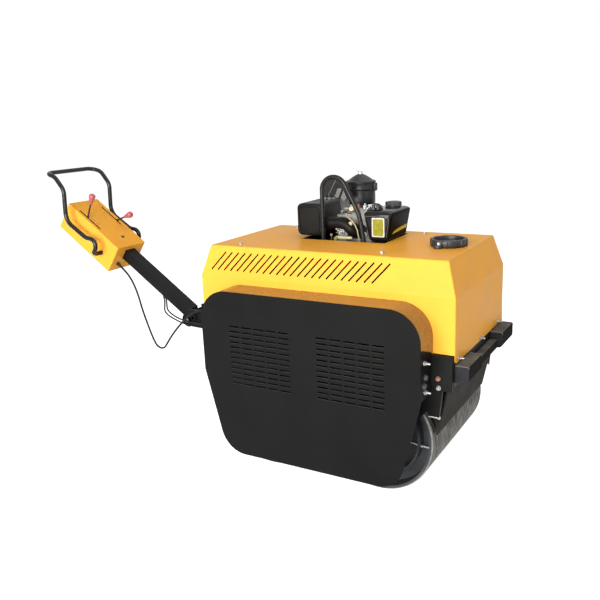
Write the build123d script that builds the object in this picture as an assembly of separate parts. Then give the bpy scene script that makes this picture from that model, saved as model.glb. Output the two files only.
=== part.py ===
from build123d import *

import math
import os

# Walk-behind twin-drum vibratory roller, in millimetres and degrees.
# +X is the direction of travel, +Y the left side and +Z up, with the ground at z = 0.
# The pieces are drawn about a point midway between the two drums and moved at the end,
# so that the origin lies on the ground below the middle of the whole machine.

# Drums and axles
drum_diameter = 437
drum_width = 594
drum_spacing = 474
drum_shell = 14
drum_edge_chamfer = 5
drum_disc_recess = 52
drum_disc_thickness = 12
drum_ring_radius = 160
drum_ring_width = 9
drum_ring_height = 38
drum_hub_radius = 64
axle_radius = 40
axle_housing_radius = 70
bearing_clearance = 0.3
running_clearance = 6

# Frame
frame_plate = 12
frame_end_gap = 4
frame_top = 570
frame_skirt = 443
frame_web_bottom = 330
frame_web_length = 300
axle_lobe_radius = 72
frame_front_curve = 110
hanger_setback = 34
hanger_width = 42
hanger_lean = 12
hanger_bottom = 342
beam_depth = 60
beam_bottom = 455
beam_wall = 8
deck_top = 526
deck_thickness = 10
bumper_reach = 50
bumper_gap = 276
bumper_end_inset = 8
bumper_bottom = 472
bumper_top = 534
bumper_top_round = 7
bumper_bottom_round = 16
bumper_bar_reach = 30
bumper_bar_drop = 30
scraper_thickness = 6
scraper_edge_gap = 7
scraper_edge_height = 257
scraper_inset = 20
scraper_setback = 22

# Hood
sheet = 3
hood_top = 894
hood_kink = 772
hood_length = 1066
hood_end_taper = 36
hood_side_gap = 3
hood_side_taper = 31
hood_edge_round = 5
hood_side_bottom = 572
hood_end_bottom = 540
hood_end_corner = 16
opening_rear = -252
opening_front = 184
opening_right = -34
opening_left = 214
louvre_count = 24
louvre_pitch = 30.7
louvre_first = -451
louvre_rise = 63
louvre_length = 96
louvre_width = 6
louvre_lean = 48

# Side covers and the arched bands that join them to the hood
cover_length = 908
cover_top = 748
cover_shoulder = 421
cover_bottom = 81
cover_bottom_length = 740
cover_top_radius = 118
cover_bottom_radius = 110
cover_plate = 4
cover_standoff = 100
flange_bottom = 430
band_foot = 575
band_rise = 41
slot_length = 45
slot_height = 6
slot_columns = 5
slot_rows = 12
slot_pitch_x = 55
slot_pitch_z = 20.8
slot_group_spacing = 380
slot_group_height = 498

# Engine
crankcase_length = 290
crankcase_width = 220
crankcase_top = 800
crankcase_corner = 20
crankcase_middle_x = -15
crankcase_middle_y = 108
head_length = 150
head_width = 130
head_top = 985
head_middle_x = -12
head_middle_y = 120
fin_count = 6
fin_pitch = 16
fin_thickness = 5
fin_reach = 10
fin_lowest = 876
rocker_length = 112
rocker_width = 62
rocker_height = 30
rocker_corner = 18
tank_shelf_height = 8
muffler_length = 115
muffler_width = 205
muffler_height = 132
muffler_rear = -248
muffler_right = 0
muffler_bottom = 902
muffler_corner = 22
muffler_edge = 9
muffler_far_edge = 18
exhaust_radius = 23
exhaust_port_x = 2
exhaust_port_z = 920
exhaust_rise = 37
exhaust_slant_run = 37
exhaust_reach = 32
exhaust_bend = 25
exhaust_long_bend = 56
exhaust_flange_length = 86
exhaust_flange_width = 58
exhaust_flange_corner = 20
exhaust_flange = 6
tank_bottom = 896
tank_shoulder = 1003
tank_top = 1016
tank_right = -15
tank_rear = 69
tank_length = 112
tank_width = 209
tank_bottom_length = 76
tank_bottom_width = 203
tank_corner = 16
tank_bevel = 22
fuel_cap_radius = 33
fuel_cap_height = 18
filter_radius = 63
filter_lower_radius = 60
filter_bottom = 1022
filter_step = 1082
filter_rim = 1117
filter_rim_round = 5
filter_dome_foot = 54
filter_dome_shoulder = 30
filter_shoulder = 1134
filter_crown = 13
filter_top = 1144
filter_middle_x = -19.5
filter_middle_y = 138
intake_radius = 30
hoop_bar_radius = 9
hoop_offset = -20
hoop_rear = -115
hoop_front_foot = 66
hoop_front_knee = 47
hoop_front_top = -28
hoop_apex = 1145
hoop_knee_drop = 145
hoop_knee = hoop_apex - hoop_knee_drop
hoop_bend = 52
hoop_knee_bend = 120
hoop_foot_bend = 56
hoop_plate = 6
hoop_plate_depth = 87
hoop_plate_bottom = hoop_apex - hoop_plate_depth
filler_x = 405
filler_radius = 70
filler_height = 28
filler_rim = 14
filler_tab_radius = 17

# Drawbar hinge at the rear
lug_thickness = 12
lug_inner_gap = 92
lug_height = 80
lug_bottom = 455
lug_eye_radius = 34
pin_radius = 10
pin_head_radius = 16
pin_head_height = 8
pin_fit = 0.1
stop_ahead = 20.6
stop_above = 35.3

# Handle, measured along its slope from the front top edge of the control box
handle_slope = 34.9
handle_x = -1186
handle_z = 805.5
box_length = 361
box_width = 186
box_height = 142
tube_width = 60
tube_height = 50
tube_wall = 4
tube_drop = 24
tube_end = -450
tube_insert = 24
pivot_along = -480
pivot_drop = 56
heel_reach = 45
heel_below = 22
bar_radius = 10.5
bar_width = 300
bar_foot_along = 78
bar_foot_drop = 85
bar_foot_bend = 24
bar_shoulder_along = 76
bar_shoulder_rise = 2
bar_shoulder_bend = 32
bar_elbow_along = 150
bar_elbow_drop = 39
bar_elbow_bend = 60
bar_rear_along = 293
bar_rear_drop = 45
bar_rear_bend = 70
bar_rise_along = 370
bar_rise = 81
bar_rise_bend = 55
bar_crown_along = 447
bar_crown_rise = 103
bar_crown_bend = 60
bar_grip_along = 505
bar_grip_rise = 82
bar_grip_bend = 38
lever_slot_start = 150
lever_slot_length = 150
lever_slot_width = 12
lever_spacing = 144
lever_shaft_along = 231
lever_shaft_drop = 60
lever_shaft_radius = 7
lever_hub_radius = 14
lever_hub_width = 20
lever_rod_radius = 4
lever_seat = 1
lever_length = 150
lever_lean_right = 11.5
lever_lean_left = -36.7
knob_radius = 13.4
knob_neck_radius = 6
knob_length = 44

# Hose and control cables from the handle to the rear beam
hose_diameter = 9
cable_diameter = 7
cord_end_gap = 0.3
cord_socket_run = 42
hose_gland_radius = 10
hose_gland_length = 20
hose_gland_right = 50
hose_gland_drop = 102
hose_socket_right = 120
hose_socket_height = 524
cable_gland_radius = 6.5
cable_gland_length = 16
cable_gland_along = -290.6
cable_gland_right = 21
cable_gland_spacing = 13
cable_socket_right = 112
cable_socket_height = 480
second_socket_right = 98
second_socket_height = 496
hose_route = [
    (-1196, -51, 688),
    (-1160, -53, 650),
    (-1133, -55, 600),
    (-1117, -56, 552),
    (-1104, -57, 504),
    (-1082, -58, 444),
    (-1060, -60, 392),
    (-1048, -61, 366),
    (-1031, -62, 338),
    (-1013.5, -63, 327),
    (-993, -65, 325),
    (-974, -67, 333),
    (-950, -71, 361),
    (-910, -84, 404),
    (-848, -100, 463),
    (-777, -112, 522),
    (-739.5, -115, 544),
    (-707, -116, 558),
    (-668, -117, 559),
    (-628, -119, 546),
]
cable_route = [
    (-990, -21, 536),
    (-985, -35, 507),
    (-959, -45, 491),
    (-921, -56, 483),
    (-883, -70, 479),
    (-847, -84, 477),
    (-808, -92, 474),
    (-760, -96, 471),
    (-700, -102, 472),
    (-645, -108, 476),
]
second_cable_route = [
    (-990, -8, 537),
    (-979, -21, 510),
    (-950, -33, 497),
    (-914, -47, 490),
    (-878, -63, 488),
    (-843, -78, 488),
    (-806, -83, 485),
    (-758, -86, 482),
    (-700, -90, 484),
    (-645, -95, 490),
]

drum_radius = drum_diameter / 2
drum_half = drum_width / 2
frame_inner = drum_half + running_clearance
frame_outer = frame_inner + frame_plate
cover_inner = frame_outer + cover_standoff
cover_outer = cover_inner + cover_plate
hood_end = hood_length / 2
hood_side = frame_inner - hood_side_gap
frame_end = hood_end - frame_end_gap
beam_face = hood_end - sheet


def outline(*points):
    # Counter-clockwise, whichever way round the points were given.
    area = sum(a[0] * b[1] - b[0] * a[1] for a, b in zip(points, points[1:] + points[:1]))
    return Polygon(*(points if area > 0 else points[::-1]))


def slab_x(face, low, high):
    return extrude(Plane.YZ.offset(low) * face, amount=high - low, dir=(1, 0, 0))


def slab_y(face, low, high):
    return extrude(Plane.XZ.offset(-high) * face, amount=high - low, dir=(0, -1, 0))


def slab_z(face, low, high):
    return extrude(Plane.XY.offset(low) * face, amount=high - low, dir=(0, 0, 1))


def span(low_1, high_1, low_2, high_2):
    return outline((low_1, low_2), (high_1, low_2), (high_1, high_2), (low_1, high_2))


def left_of(right):
    return mirror(right, about=Plane.XZ)


def rear_of(front):
    return mirror(front, about=Plane.YZ)


def rod_y(radius, x, z, low, high):
    return slab_y(Pos(x, z) * Circle(radius), low, high)


def bar(points, radii, radius):
    # Round bar of straight runs and tangent bends, each a cylinder or a piece of a torus.
    pieces = []
    for run in FilletPolyline(*points, radius=radii).edges():
        section = Plane(run @ 0, z_dir=run % 0) * Circle(radius)
        if run.geom_type == GeomType.LINE:
            pieces.append(extrude(section, amount=run.length, dir=run % 0))
        else:
            turn = Axis(run.arc_center, (run % 0).cross(run % 1))
            pieces.append(revolve(section, axis=turn, revolution_arc=(run % 0).get_angle(run % 1)))
    return Part() + pieces


def drum():
    disc_face = drum_half - drum_disc_recess
    bore = axle_radius + bearing_clearance
    shell = span(drum_radius - drum_shell, drum_radius, -drum_half, drum_half)
    rim = shell.vertices().group_by(Axis.X)[-1]
    section = chamfer(rim, drum_edge_chamfer)
    section += span(bore, drum_hub_radius, -disc_face, disc_face)
    for side in (-1, 1):
        disc_back = side * (disc_face - drum_disc_thickness)
        section += span(bore, drum_radius - drum_shell / 2, *sorted((disc_back, side * disc_face)))
        ring_end = side * (disc_face + drum_ring_height)
        ring_outer = drum_ring_radius + drum_ring_width / 2
        section += span(ring_outer - drum_ring_width, ring_outer, *sorted((disc_back, ring_end)))
    return Pos(Z=drum_radius) * revolve(section, axis=Axis.Y)


def axle():
    shaft = rod_y(axle_radius, 0, drum_radius, -frame_inner, frame_inner)
    housing_end = drum_half - drum_disc_recess + running_clearance
    housing = rod_y(axle_housing_radius, 0, drum_radius, -frame_inner, -housing_end)
    return shaft + housing + left_of(housing)


def frame_plate_right():
    half_web = frame_web_length / 2
    hanger_front = frame_end - hanger_setback
    hanger_rear = hanger_front - hanger_width
    axle_x = drum_spacing / 2
    curve_top = frame_web_bottom + hanger_width
    face = span(-half_web, half_web, frame_web_bottom, frame_skirt)
    face += span(-frame_end, frame_end, frame_skirt, frame_top)
    for side in (-1, 1):
        lobe = outline(
            (side * half_web, frame_skirt),
            (side * half_web, frame_web_bottom),
            (side * (axle_x - axle_lobe_radius), drum_radius),
            (side * (axle_x + axle_lobe_radius), drum_radius),
            (side * hanger_rear, curve_top),
            (side * hanger_rear, frame_skirt),
        )
        bend = lobe.vertices().sort_by_distance((side * hanger_rear, curve_top))[0]
        face += fillet(bend, frame_front_curve)
        face += Pos(side * axle_x, drum_radius) * Circle(axle_lobe_radius)
        face += outline(
            (side * hanger_rear, frame_skirt),
            (side * (hanger_rear - hanger_lean), hanger_bottom),
            (side * (hanger_front - hanger_lean), hanger_bottom),
            (side * hanger_front, frame_skirt),
        )
    return slab_y(face, -frame_outer, -frame_inner)


def beam():
    profile = span(beam_face - beam_depth, beam_face, beam_bottom, frame_top)
    core = offset(profile, -beam_wall)
    return slab_y(profile - core, -frame_inner, frame_inner)


def bumpers():
    # Two blocks with rounded front edges, joined across the beam by a lower bar.
    block = span(beam_face, beam_face + bumper_reach, bumper_bottom, bumper_top)
    front_edges = block.vertices().group_by(Axis.X)[-1].sort_by(Axis.Y)
    block = fillet(front_edges[0], bumper_bottom_round)
    top_edge = block.vertices().sort_by_distance((beam_face + bumper_reach, bumper_top))[0]
    block = fillet(top_edge, bumper_top_round)
    half_gap = bumper_gap / 2
    right = slab_y(block, bumper_end_inset - hood_side, -half_gap)
    bar_top = bumper_top - bumper_bar_drop
    bar_face = span(beam_face, beam_face + bumper_bar_reach, bumper_bottom, bar_top)
    return right + left_of(right) + slab_y(bar_face, -half_gap, half_gap)


def scraper():
    rise = scraper_edge_height - drum_radius
    edge_x = drum_spacing / 2 + math.sqrt((drum_radius + scraper_edge_gap) ** 2 - rise ** 2)
    top_x = beam_face - scraper_setback
    profile = outline(
        (edge_x, scraper_edge_height),
        (edge_x + scraper_thickness, scraper_edge_height),
        (top_x, beam_bottom),
        (top_x - scraper_thickness, beam_bottom),
    )
    half = drum_half - scraper_inset
    return slab_y(profile, -half, half)


def hood_profile(half, taper, bottom):
    return outline(
        (-half, bottom),
        (-half, hood_kink),
        (taper - half, hood_top),
        (half - taper, hood_top),
        (half, hood_kink),
        (half, bottom),
    )


def hood_panels():
    lowest = min(hood_side_bottom, hood_end_bottom)
    along = hood_profile(hood_end, hood_end_taper, lowest)
    across = hood_profile(hood_side, hood_side_taper, lowest)
    body = slab_y(along, -hood_side, hood_side) & slab_x(across, -hood_end, hood_end)
    folds = body.edges() - body.edges().group_by(Axis.Z)[0]
    body = fillet(folds, hood_edge_round)
    lid_bottom = hood_top - sheet
    inner_along = hood_profile(hood_end - sheet, hood_end_taper, lowest)
    inner_across = hood_profile(hood_side - sheet, hood_side_taper, lowest)
    between_ends = slab_y(inner_along, -hood_side, hood_side)
    between_sides = slab_x(inner_across, -hood_end, hood_end)
    plan = Rectangle(hood_length, 2 * hood_side)
    below_lid = slab_z(plan, lowest, lid_bottom)
    above_side_edge = slab_z(plan, hood_side_bottom, hood_top)

    walls = (body & below_lid) - between_sides
    right = (walls & above_side_edge).solids().sort_by(Axis.Y)[0]
    ends = (body & below_lid & between_sides) - between_ends
    front = ends.solids().sort_by(Axis.X)[-1]
    end_half = hood_side - sheet
    end_face = span(-end_half, end_half, hood_end_bottom, hood_top)
    end_face = fillet(end_face.vertices().group_by(Axis.Y)[0], hood_end_corner)
    front &= slab_x(end_face, 0, hood_end)
    lid = body - below_lid
    opening = span(opening_rear, opening_front, opening_right, opening_left)
    lid -= slab_z(opening, lid_bottom, hood_top)
    louvre = Rot(Z=louvre_lean) * Rectangle(louvre_length, louvre_width)
    louvre_depth = hood_side_taper + 2 * sheet
    for number in range(louvre_count):
        place = Pos(louvre_first + number * louvre_pitch, hood_kink + louvre_rise)
        right -= slab_y(place * louvre, -hood_side, louvre_depth - hood_side)
    return lid, right, front


def arch(inset):
    half = cover_length / 2 - inset
    face = span(-half, half, cover_shoulder, cover_top - inset)
    corners = face.vertices().group_by(Axis.Y)[-1]
    return fillet(corners, cover_top_radius - inset)


def band_right():
    strip = slab_y(arch(0) - arch(sheet), -cover_inner, -hood_side)
    outer_z = band_foot + band_rise
    foot = outline(
        (-cover_inner, cover_shoulder),
        (-cover_inner, outer_z),
        (-hood_side, band_foot),
        (-hood_side, cover_shoulder),
    )
    return strip - slab_x(foot, -cover_length, cover_length)


def cover_right():
    half = cover_length / 2
    half_bottom = cover_bottom_length / 2
    lower = outline(
        (-half, cover_shoulder),
        (-half_bottom, cover_bottom),
        (half_bottom, cover_bottom),
        (half, cover_shoulder),
    )
    feet = lower.vertices().group_by(Axis.Y)[0]
    face = arch(0) + fillet(feet, cover_bottom_radius)
    slot = Rectangle(slot_length, slot_height)
    for side in (-1, 1):
        middle = Pos(side * slot_group_spacing / 2, slot_group_height)
        grid = GridLocations(slot_pitch_x, slot_pitch_z, slot_columns, slot_rows)
        face -= [middle * place * slot for place in grid]
    return slab_y(face, -cover_outer, -cover_inner)


def cover_flanges():
    # Upright plates that close the ends of the covers below the slanted feet of the bands.
    half = cover_length / 2
    outer_z = band_foot + band_rise
    inner_z = band_foot + band_rise * (frame_outer - hood_side) / (cover_inner - hood_side)
    flange = outline(
        (-cover_inner, flange_bottom),
        (-cover_inner, outer_z),
        (-frame_outer, inner_z),
        (-frame_outer, flange_bottom),
    )
    front_right = slab_x(flange, half - cover_plate, half)
    rear_right = rear_of(front_right)
    return [front_right, rear_right, left_of(front_right), left_of(rear_right)]


def engine_block():
    middle = Pos(crankcase_middle_x, crankcase_middle_y)
    plan = middle * RectangleRounded(crankcase_length, crankcase_width, crankcase_corner)
    return slab_z(plan, deck_top, crankcase_top)


def cylinder_head():
    middle = Pos(head_middle_x, head_middle_y)
    core = slab_z(middle * Rectangle(head_length, head_width), crankcase_top, head_top)
    fin = Rectangle(head_length + 2 * fin_reach, head_width + fin_reach)
    for number in range(fin_count):
        low = fin_lowest + number * fin_pitch
        core += slab_z(middle * Pos(Y=fin_reach / 2) * fin, low, low + fin_thickness)
    rocker_y = head_middle_y - head_width / 2 + rocker_width / 2
    rocker = Pos(head_middle_x, rocker_y) * RectangleRounded(rocker_length, rocker_width, rocker_corner)
    core += slab_z(rocker, head_top, head_top + rocker_height)
    shelf_front = tank_rear + tank_length / 2
    shelf = span(head_middle_x, shelf_front, head_middle_y - head_width / 2, head_middle_y)
    core += slab_z(shelf, tank_bottom - tank_shelf_height, tank_bottom)
    intake = Pos(filter_middle_x, filter_middle_y) * Circle(intake_radius)
    core += slab_z(intake, head_top, filter_bottom)
    return core


def muffler():
    muffler_front = muffler_rear + muffler_length
    profile = span(muffler_rear, muffler_front, muffler_bottom, muffler_bottom + muffler_height)
    profile = fillet(profile.vertices(), muffler_corner)
    can = slab_y(profile, muffler_right, muffler_right + muffler_width)
    can = fillet(can.faces().sort_by(Axis.Y)[0].edges(), muffler_edge)
    return fillet(can.faces().sort_by(Axis.Y)[-1].edges(), muffler_far_edge)


def exhaust():
    head_face = head_middle_y - head_width / 2
    lane = head_face - exhaust_reach
    muffler_face = muffler_rear + muffler_length
    slant_x = exhaust_port_x - exhaust_slant_run
    points = [
        (exhaust_port_x, head_face, exhaust_port_z),
        (exhaust_port_x, lane, exhaust_port_z),
        (slant_x, lane, exhaust_port_z + exhaust_rise),
        (muffler_face, lane, exhaust_port_z + exhaust_rise),
    ]
    pipe = bar(points, [exhaust_bend, exhaust_long_bend], exhaust_radius)
    plate = RectangleRounded(exhaust_flange_length, exhaust_flange_width, exhaust_flange_corner)
    port = Pos(exhaust_port_x, exhaust_port_z)
    return pipe + slab_y(port * plate, head_face - exhaust_flange, head_face)


def fuel_tank():
    foot_x = tank_rear + tank_length / 2
    foot_y = tank_right + tank_bottom_width / 2
    foot = Pos(foot_x, foot_y) * RectangleRounded(tank_bottom_length, tank_bottom_width, tank_corner)
    top_y = tank_right + tank_width / 2
    shoulder = Pos(foot_x, top_y) * RectangleRounded(tank_length, tank_width, tank_corner)
    crown_size = (tank_length - 2 * tank_bevel, tank_width - 2 * tank_bevel)
    crown = Pos(foot_x, top_y) * RectangleRounded(*crown_size, tank_corner)
    bowl = loft([Plane.XY.offset(tank_bottom) * foot, Plane.XY.offset(tank_shoulder) * shoulder], ruled=True)
    lid = loft([Plane.XY.offset(tank_shoulder) * shoulder, Plane.XY.offset(tank_top) * crown], ruled=True)
    return bowl + lid


def fuel_cap():
    cap_y = tank_right + tank_width - tank_bevel - fuel_cap_radius
    place = Pos(tank_rear + tank_length / 2, cap_y)
    return slab_z(place * Circle(fuel_cap_radius), tank_top, tank_top + fuel_cap_height)


def air_filter():
    lid = span(0, filter_radius, filter_step, filter_rim)
    lid = fillet(lid.vertices().sort_by_distance((filter_radius, filter_rim))[0], filter_rim_round)
    dome = outline(
        (0, filter_rim),
        (filter_dome_foot, filter_rim),
        (filter_dome_shoulder, filter_shoulder),
        (filter_crown, filter_top),
        (0, filter_top),
    )
    section = lid + dome + span(0, filter_lower_radius, filter_bottom, filter_step)
    return Pos(filter_middle_x, filter_middle_y) * revolve(Plane.XZ * section, axis=Axis.Z)


def lifting_hoop():
    points = [
        (hoop_rear, hoop_offset, deck_top),
        (hoop_rear, hoop_offset, hoop_apex),
        (hoop_front_top, hoop_offset, hoop_apex),
        (hoop_front_knee, hoop_offset, hoop_knee),
        (hoop_front_foot, hoop_offset, hood_top),
        (hoop_front_foot, hoop_offset, deck_top),
    ]
    hoop = bar(points, [hoop_bend, hoop_bend, hoop_knee_bend, hoop_foot_bend], hoop_bar_radius)
    slope = (hoop_front_knee - hoop_front_top) / (hoop_apex - hoop_knee)
    plate_front = hoop_front_top + slope * (hoop_apex - hoop_plate_bottom)
    plate = outline(
        (hoop_rear, hoop_plate_bottom),
        (hoop_rear, hoop_apex),
        (hoop_front_top, hoop_apex),
        (plate_front, hoop_plate_bottom),
    )
    plate = fillet(plate.vertices().sort_by(Axis.Y)[-2:], hoop_bend)
    return hoop + slab_y(plate, hoop_offset - hoop_plate / 2, hoop_offset + hoop_plate / 2)


def filler_cap():
    place = Pos(filler_x, 0)
    cap = slab_z(place * Circle(filler_radius), hood_top, hood_top + filler_height)
    well = place * Circle(filler_radius - filler_rim)
    cap -= slab_z(well, hood_top + filler_height / 2, hood_top + filler_height)
    tab = Pos(filler_x - filler_tab_radius, -filler_radius) * Circle(filler_tab_radius)
    return cap + slab_z(tab, hood_top, hood_top + filler_height / 2)


slope_cos = math.cos(math.radians(handle_slope))
slope_sin = math.sin(math.radians(handle_slope))
handle_plane = Plane(
    origin=(handle_x, 0, handle_z),
    x_dir=(-slope_cos, 0, slope_sin),
    z_dir=(slope_sin, 0, slope_cos),
)


def on_handle(along, right, up):
    return handle_plane.from_local_coords(Vector(along, right, up))


def handle_slab(face, right_low, right_high):
    # Extrude an outline drawn along and square to the handle, across the machine.
    plane = Plane(handle_plane.origin, x_dir=handle_plane.x_dir, z_dir=-handle_plane.y_dir)
    return extrude(plane.offset(-right_high) * face, amount=right_high - right_low, dir=plane.z_dir)


pivot = on_handle(pivot_along, 0, -pivot_drop)
stop = on_handle(pivot_along - stop_ahead, 0, stop_above - pivot_drop)


def tow_lugs():
    face = span(pivot.X, -beam_face, lug_bottom, lug_bottom + lug_height)
    face += Pos(pivot.X, pivot.Z) * Circle(lug_eye_radius)
    inner = lug_inner_gap / 2
    for place in (pivot, stop):
        face -= Pos(place.X, place.Z) * Circle(pin_radius + pin_fit)
    right = slab_y(face, -inner - lug_thickness, -inner)
    return [right, left_of(right)]


def cross_pin(place):
    reach = lug_inner_gap / 2 + lug_thickness
    pin = rod_y(pin_radius, place.X, place.Z, -reach, reach)
    head = rod_y(pin_head_radius, place.X, place.Z, -reach - pin_head_height, -reach)
    return pin + head + left_of(head)


def drawbar():
    half = tube_width / 2
    top = -tube_drop
    outer = span(tube_end, tube_insert, top - tube_height, top)
    inner = span(tube_end, tube_insert, top - tube_height + tube_wall, top - tube_wall)
    tube = handle_slab(outer, -half, half)
    tube -= handle_slab(inner, tube_wall - half, half - tube_wall)
    heel_top = stop_above - pin_radius - bearing_clearance - pivot_drop
    heel = span(pivot_along - heel_reach, tube_end, -pivot_drop - heel_below, heel_top)
    heel = fillet(heel.vertices().group_by(Axis.X)[0], heel_below)
    heel -= Pos(pivot_along, -pivot_drop) * Circle(pin_radius + bearing_clearance)
    return tube + handle_slab(heel, -half, half)


def control_box():
    half = box_width / 2
    face = span(0, box_length, -box_height, 0)
    box = handle_slab(face, -half, half)
    box -= handle_slab(offset(face, -sheet), sheet - half, half - sheet)
    slot_end = lever_slot_start + lever_slot_length
    slot = span(lever_slot_start, slot_end, -lever_slot_width / 2, lever_slot_width / 2)
    for side in (-1, 1):
        cut = Pos(Y=side * lever_spacing / 2) * slot
        box -= extrude(handle_plane.offset(-sheet) * cut, amount=sheet)
    half_tube = tube_width / 2
    box -= handle_slab(span(0, sheet, -tube_drop - tube_height, -tube_drop), -half_tube, half_tube)
    return box


def handlebar():
    out = bar_width / 2
    bends = [
        (bar_foot_along, -bar_foot_drop, bar_foot_bend),
        (bar_shoulder_along, bar_shoulder_rise, bar_shoulder_bend),
        (bar_elbow_along, -bar_elbow_drop, bar_elbow_bend),
        (bar_rear_along, -bar_rear_drop, bar_rear_bend),
        (bar_rise_along, bar_rise, bar_rise_bend),
        (bar_crown_along, bar_crown_rise, bar_crown_bend),
        (bar_grip_along, bar_grip_rise, bar_grip_bend),
    ]
    foot = on_handle(bar_foot_along, box_width / 2, -bar_foot_drop)
    right = [foot] + [on_handle(along, out, up) for along, up, radius in bends]
    radii = [radius for along, up, radius in bends]
    left = [Vector(point.X, -point.Y, point.Z) for point in reversed(right)]
    return bar(right + left, radii + radii[::-1], bar_radius)


def lever_shaft():
    reach = box_width / 2 - sheet
    place = on_handle(lever_shaft_along, 0, -lever_shaft_drop)
    return rod_y(lever_shaft_radius, place.X, place.Z, -reach, reach)


def lever(side, lean):
    hub_face = Circle(lever_hub_radius) - Circle(lever_shaft_radius + pin_fit)
    place = Pos(lever_shaft_along, -lever_shaft_drop)
    middle = side * lever_spacing / 2
    hub = handle_slab(place * hub_face, middle - lever_hub_width / 2, middle + lever_hub_width / 2)
    lean_sin = math.sin(math.radians(lean))
    lean_cos = math.cos(math.radians(lean))

    def at(distance):
        return on_handle(
            lever_shaft_along + distance * lean_sin, middle, distance * lean_cos - lever_shaft_drop
        )

    axis = at(1) - at(0)
    rod_plane = Plane(at(lever_shaft_radius + pin_fit + lever_seat), z_dir=axis)
    rod = extrude(rod_plane * Circle(lever_rod_radius), amount=lever_length - lever_shaft_radius)
    knob_plane = Plane(at(lever_length + pin_fit + lever_seat), z_dir=axis)
    return hub + rod, knob_plane


def knob(plane):
    # Pear-shaped grip: a cone that widens to a ball.
    ball = knob_length - knob_radius
    section = outline((0, 0), (knob_neck_radius, 0), (knob_radius, ball), (0, ball))
    dome = Pos(Y=ball) * Circle(knob_radius)
    section += dome & span(0, knob_radius, ball, knob_length)
    return plane * revolve(Plane.XZ * section, axis=Axis.Z)


def gland(plane, radius, length):
    # Hexagon seated on a wall, with a round neck that holds the end of a hose or cable.
    neck = extrude(plane * Circle(0.75 * radius), amount=length)
    return neck + extrude(plane * RegularPolygon(radius, 6), amount=length / 2)


def beam_gland(radius, length, right, height):
    return gland(Plane((-beam_face, -right, height), z_dir=(-1, 0, 0)), radius, length)


def handle_glands():
    box_place = on_handle(0, hose_gland_right, -hose_gland_drop)
    box_gland = gland(Plane(box_place, z_dir=-handle_plane.x_dir), hose_gland_radius, hose_gland_length)
    half = tube_width / 2
    tube = handle_slab(span(tube_end, 0, -tube_drop - tube_height, -tube_drop), -half, half)
    stubs = [box_gland]
    for number in range(2):
        place = cable_exit(number)
        reach = cable_gland_length + cable_gland_radius
        stub = extrude(Plane(place, z_dir=(0, 0, 1)) * Circle(cable_gland_radius), amount=reach)
        stubs.append(stub - tube)
    return stubs


def cable_exit(number):
    right = cable_gland_right - number * cable_gland_spacing
    wall = on_handle(cable_gland_along, right, -tube_drop - tube_height)
    return wall - Vector(0, 0, cable_gland_length)


def rear_glands():
    return [
        beam_gland(hose_gland_radius, hose_gland_length, hose_socket_right, hose_socket_height),
        beam_gland(cable_gland_radius, cable_gland_length, cable_socket_right, cable_socket_height),
        beam_gland(cable_gland_radius, cable_gland_length, second_socket_right, second_socket_height),
    ]


def cord(name, start, route, socket, diameter):
    # Tube through the route's points, its bends as wide as the runs beside them allow.
    points = [start] + [Vector(*point) for point in route]
    points += [socket - Vector(cord_socket_run, 0, 0), socket]
    radii = []
    for before, point, after in zip(points, points[1:], points[2:]):
        turn = (point - before).get_angle(after - point)
        shorter = min((point - before).length, (after - point).length)
        radii.append(0.45 * shorter / math.tan(math.radians(turn / 2)))
    tube = bar(points, radii, diameter / 2)
    length = FilletPolyline(*points, radius=radii).length
    print(name, "length", round(length, 1), "radii", [round(radius) for radius in radii])
    print(name, "volume share", round(tube.volume / (length * math.pi * diameter ** 2 / 4), 4))
    print(name, "points", [tuple(round(value, 2) for value in point) for point in points])
    return tube


def socket_end(length, right, height):
    return Vector(-beam_face - length, -right, height)


hose_out = -handle_plane.x_dir
hose_start = on_handle(0, hose_gland_right, -hose_gland_drop) + hose_out * (hose_gland_length + cord_end_gap)
cord_gap = Vector(0, 0, cord_end_gap)
control_hose = cord(
    "control_hose",
    hose_start,
    hose_route,
    socket_end(hose_gland_length, hose_socket_right, hose_socket_height),
    hose_diameter,
)
control_cable = cord(
    "control_cable",
    cable_exit(0) - cord_gap,
    cable_route,
    socket_end(cable_gland_length, cable_socket_right, cable_socket_height),
    cable_diameter,
)
second_cable = cord(
    "second_cable",
    cable_exit(1) - cord_gap,
    second_cable_route,
    socket_end(cable_gland_length, second_socket_right, second_socket_height),
    cable_diameter,
)
lid, hood_right, hood_front = hood_panels()
right_lever, right_knob_plane = lever(1, lever_lean_right)
left_lever, left_knob_plane = lever(-1, lever_lean_left)
frame_right = frame_plate_right()
right_band = band_right()
right_cover = cover_right()
front_beam = beam()
front_scraper = scraper()
one_drum = drum()
one_axle = axle()
front_axle_place = Pos(X=drum_spacing / 2)
rear_axle_place = Pos(X=-drum_spacing / 2)
deck_half = beam_face - beam_depth

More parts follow.
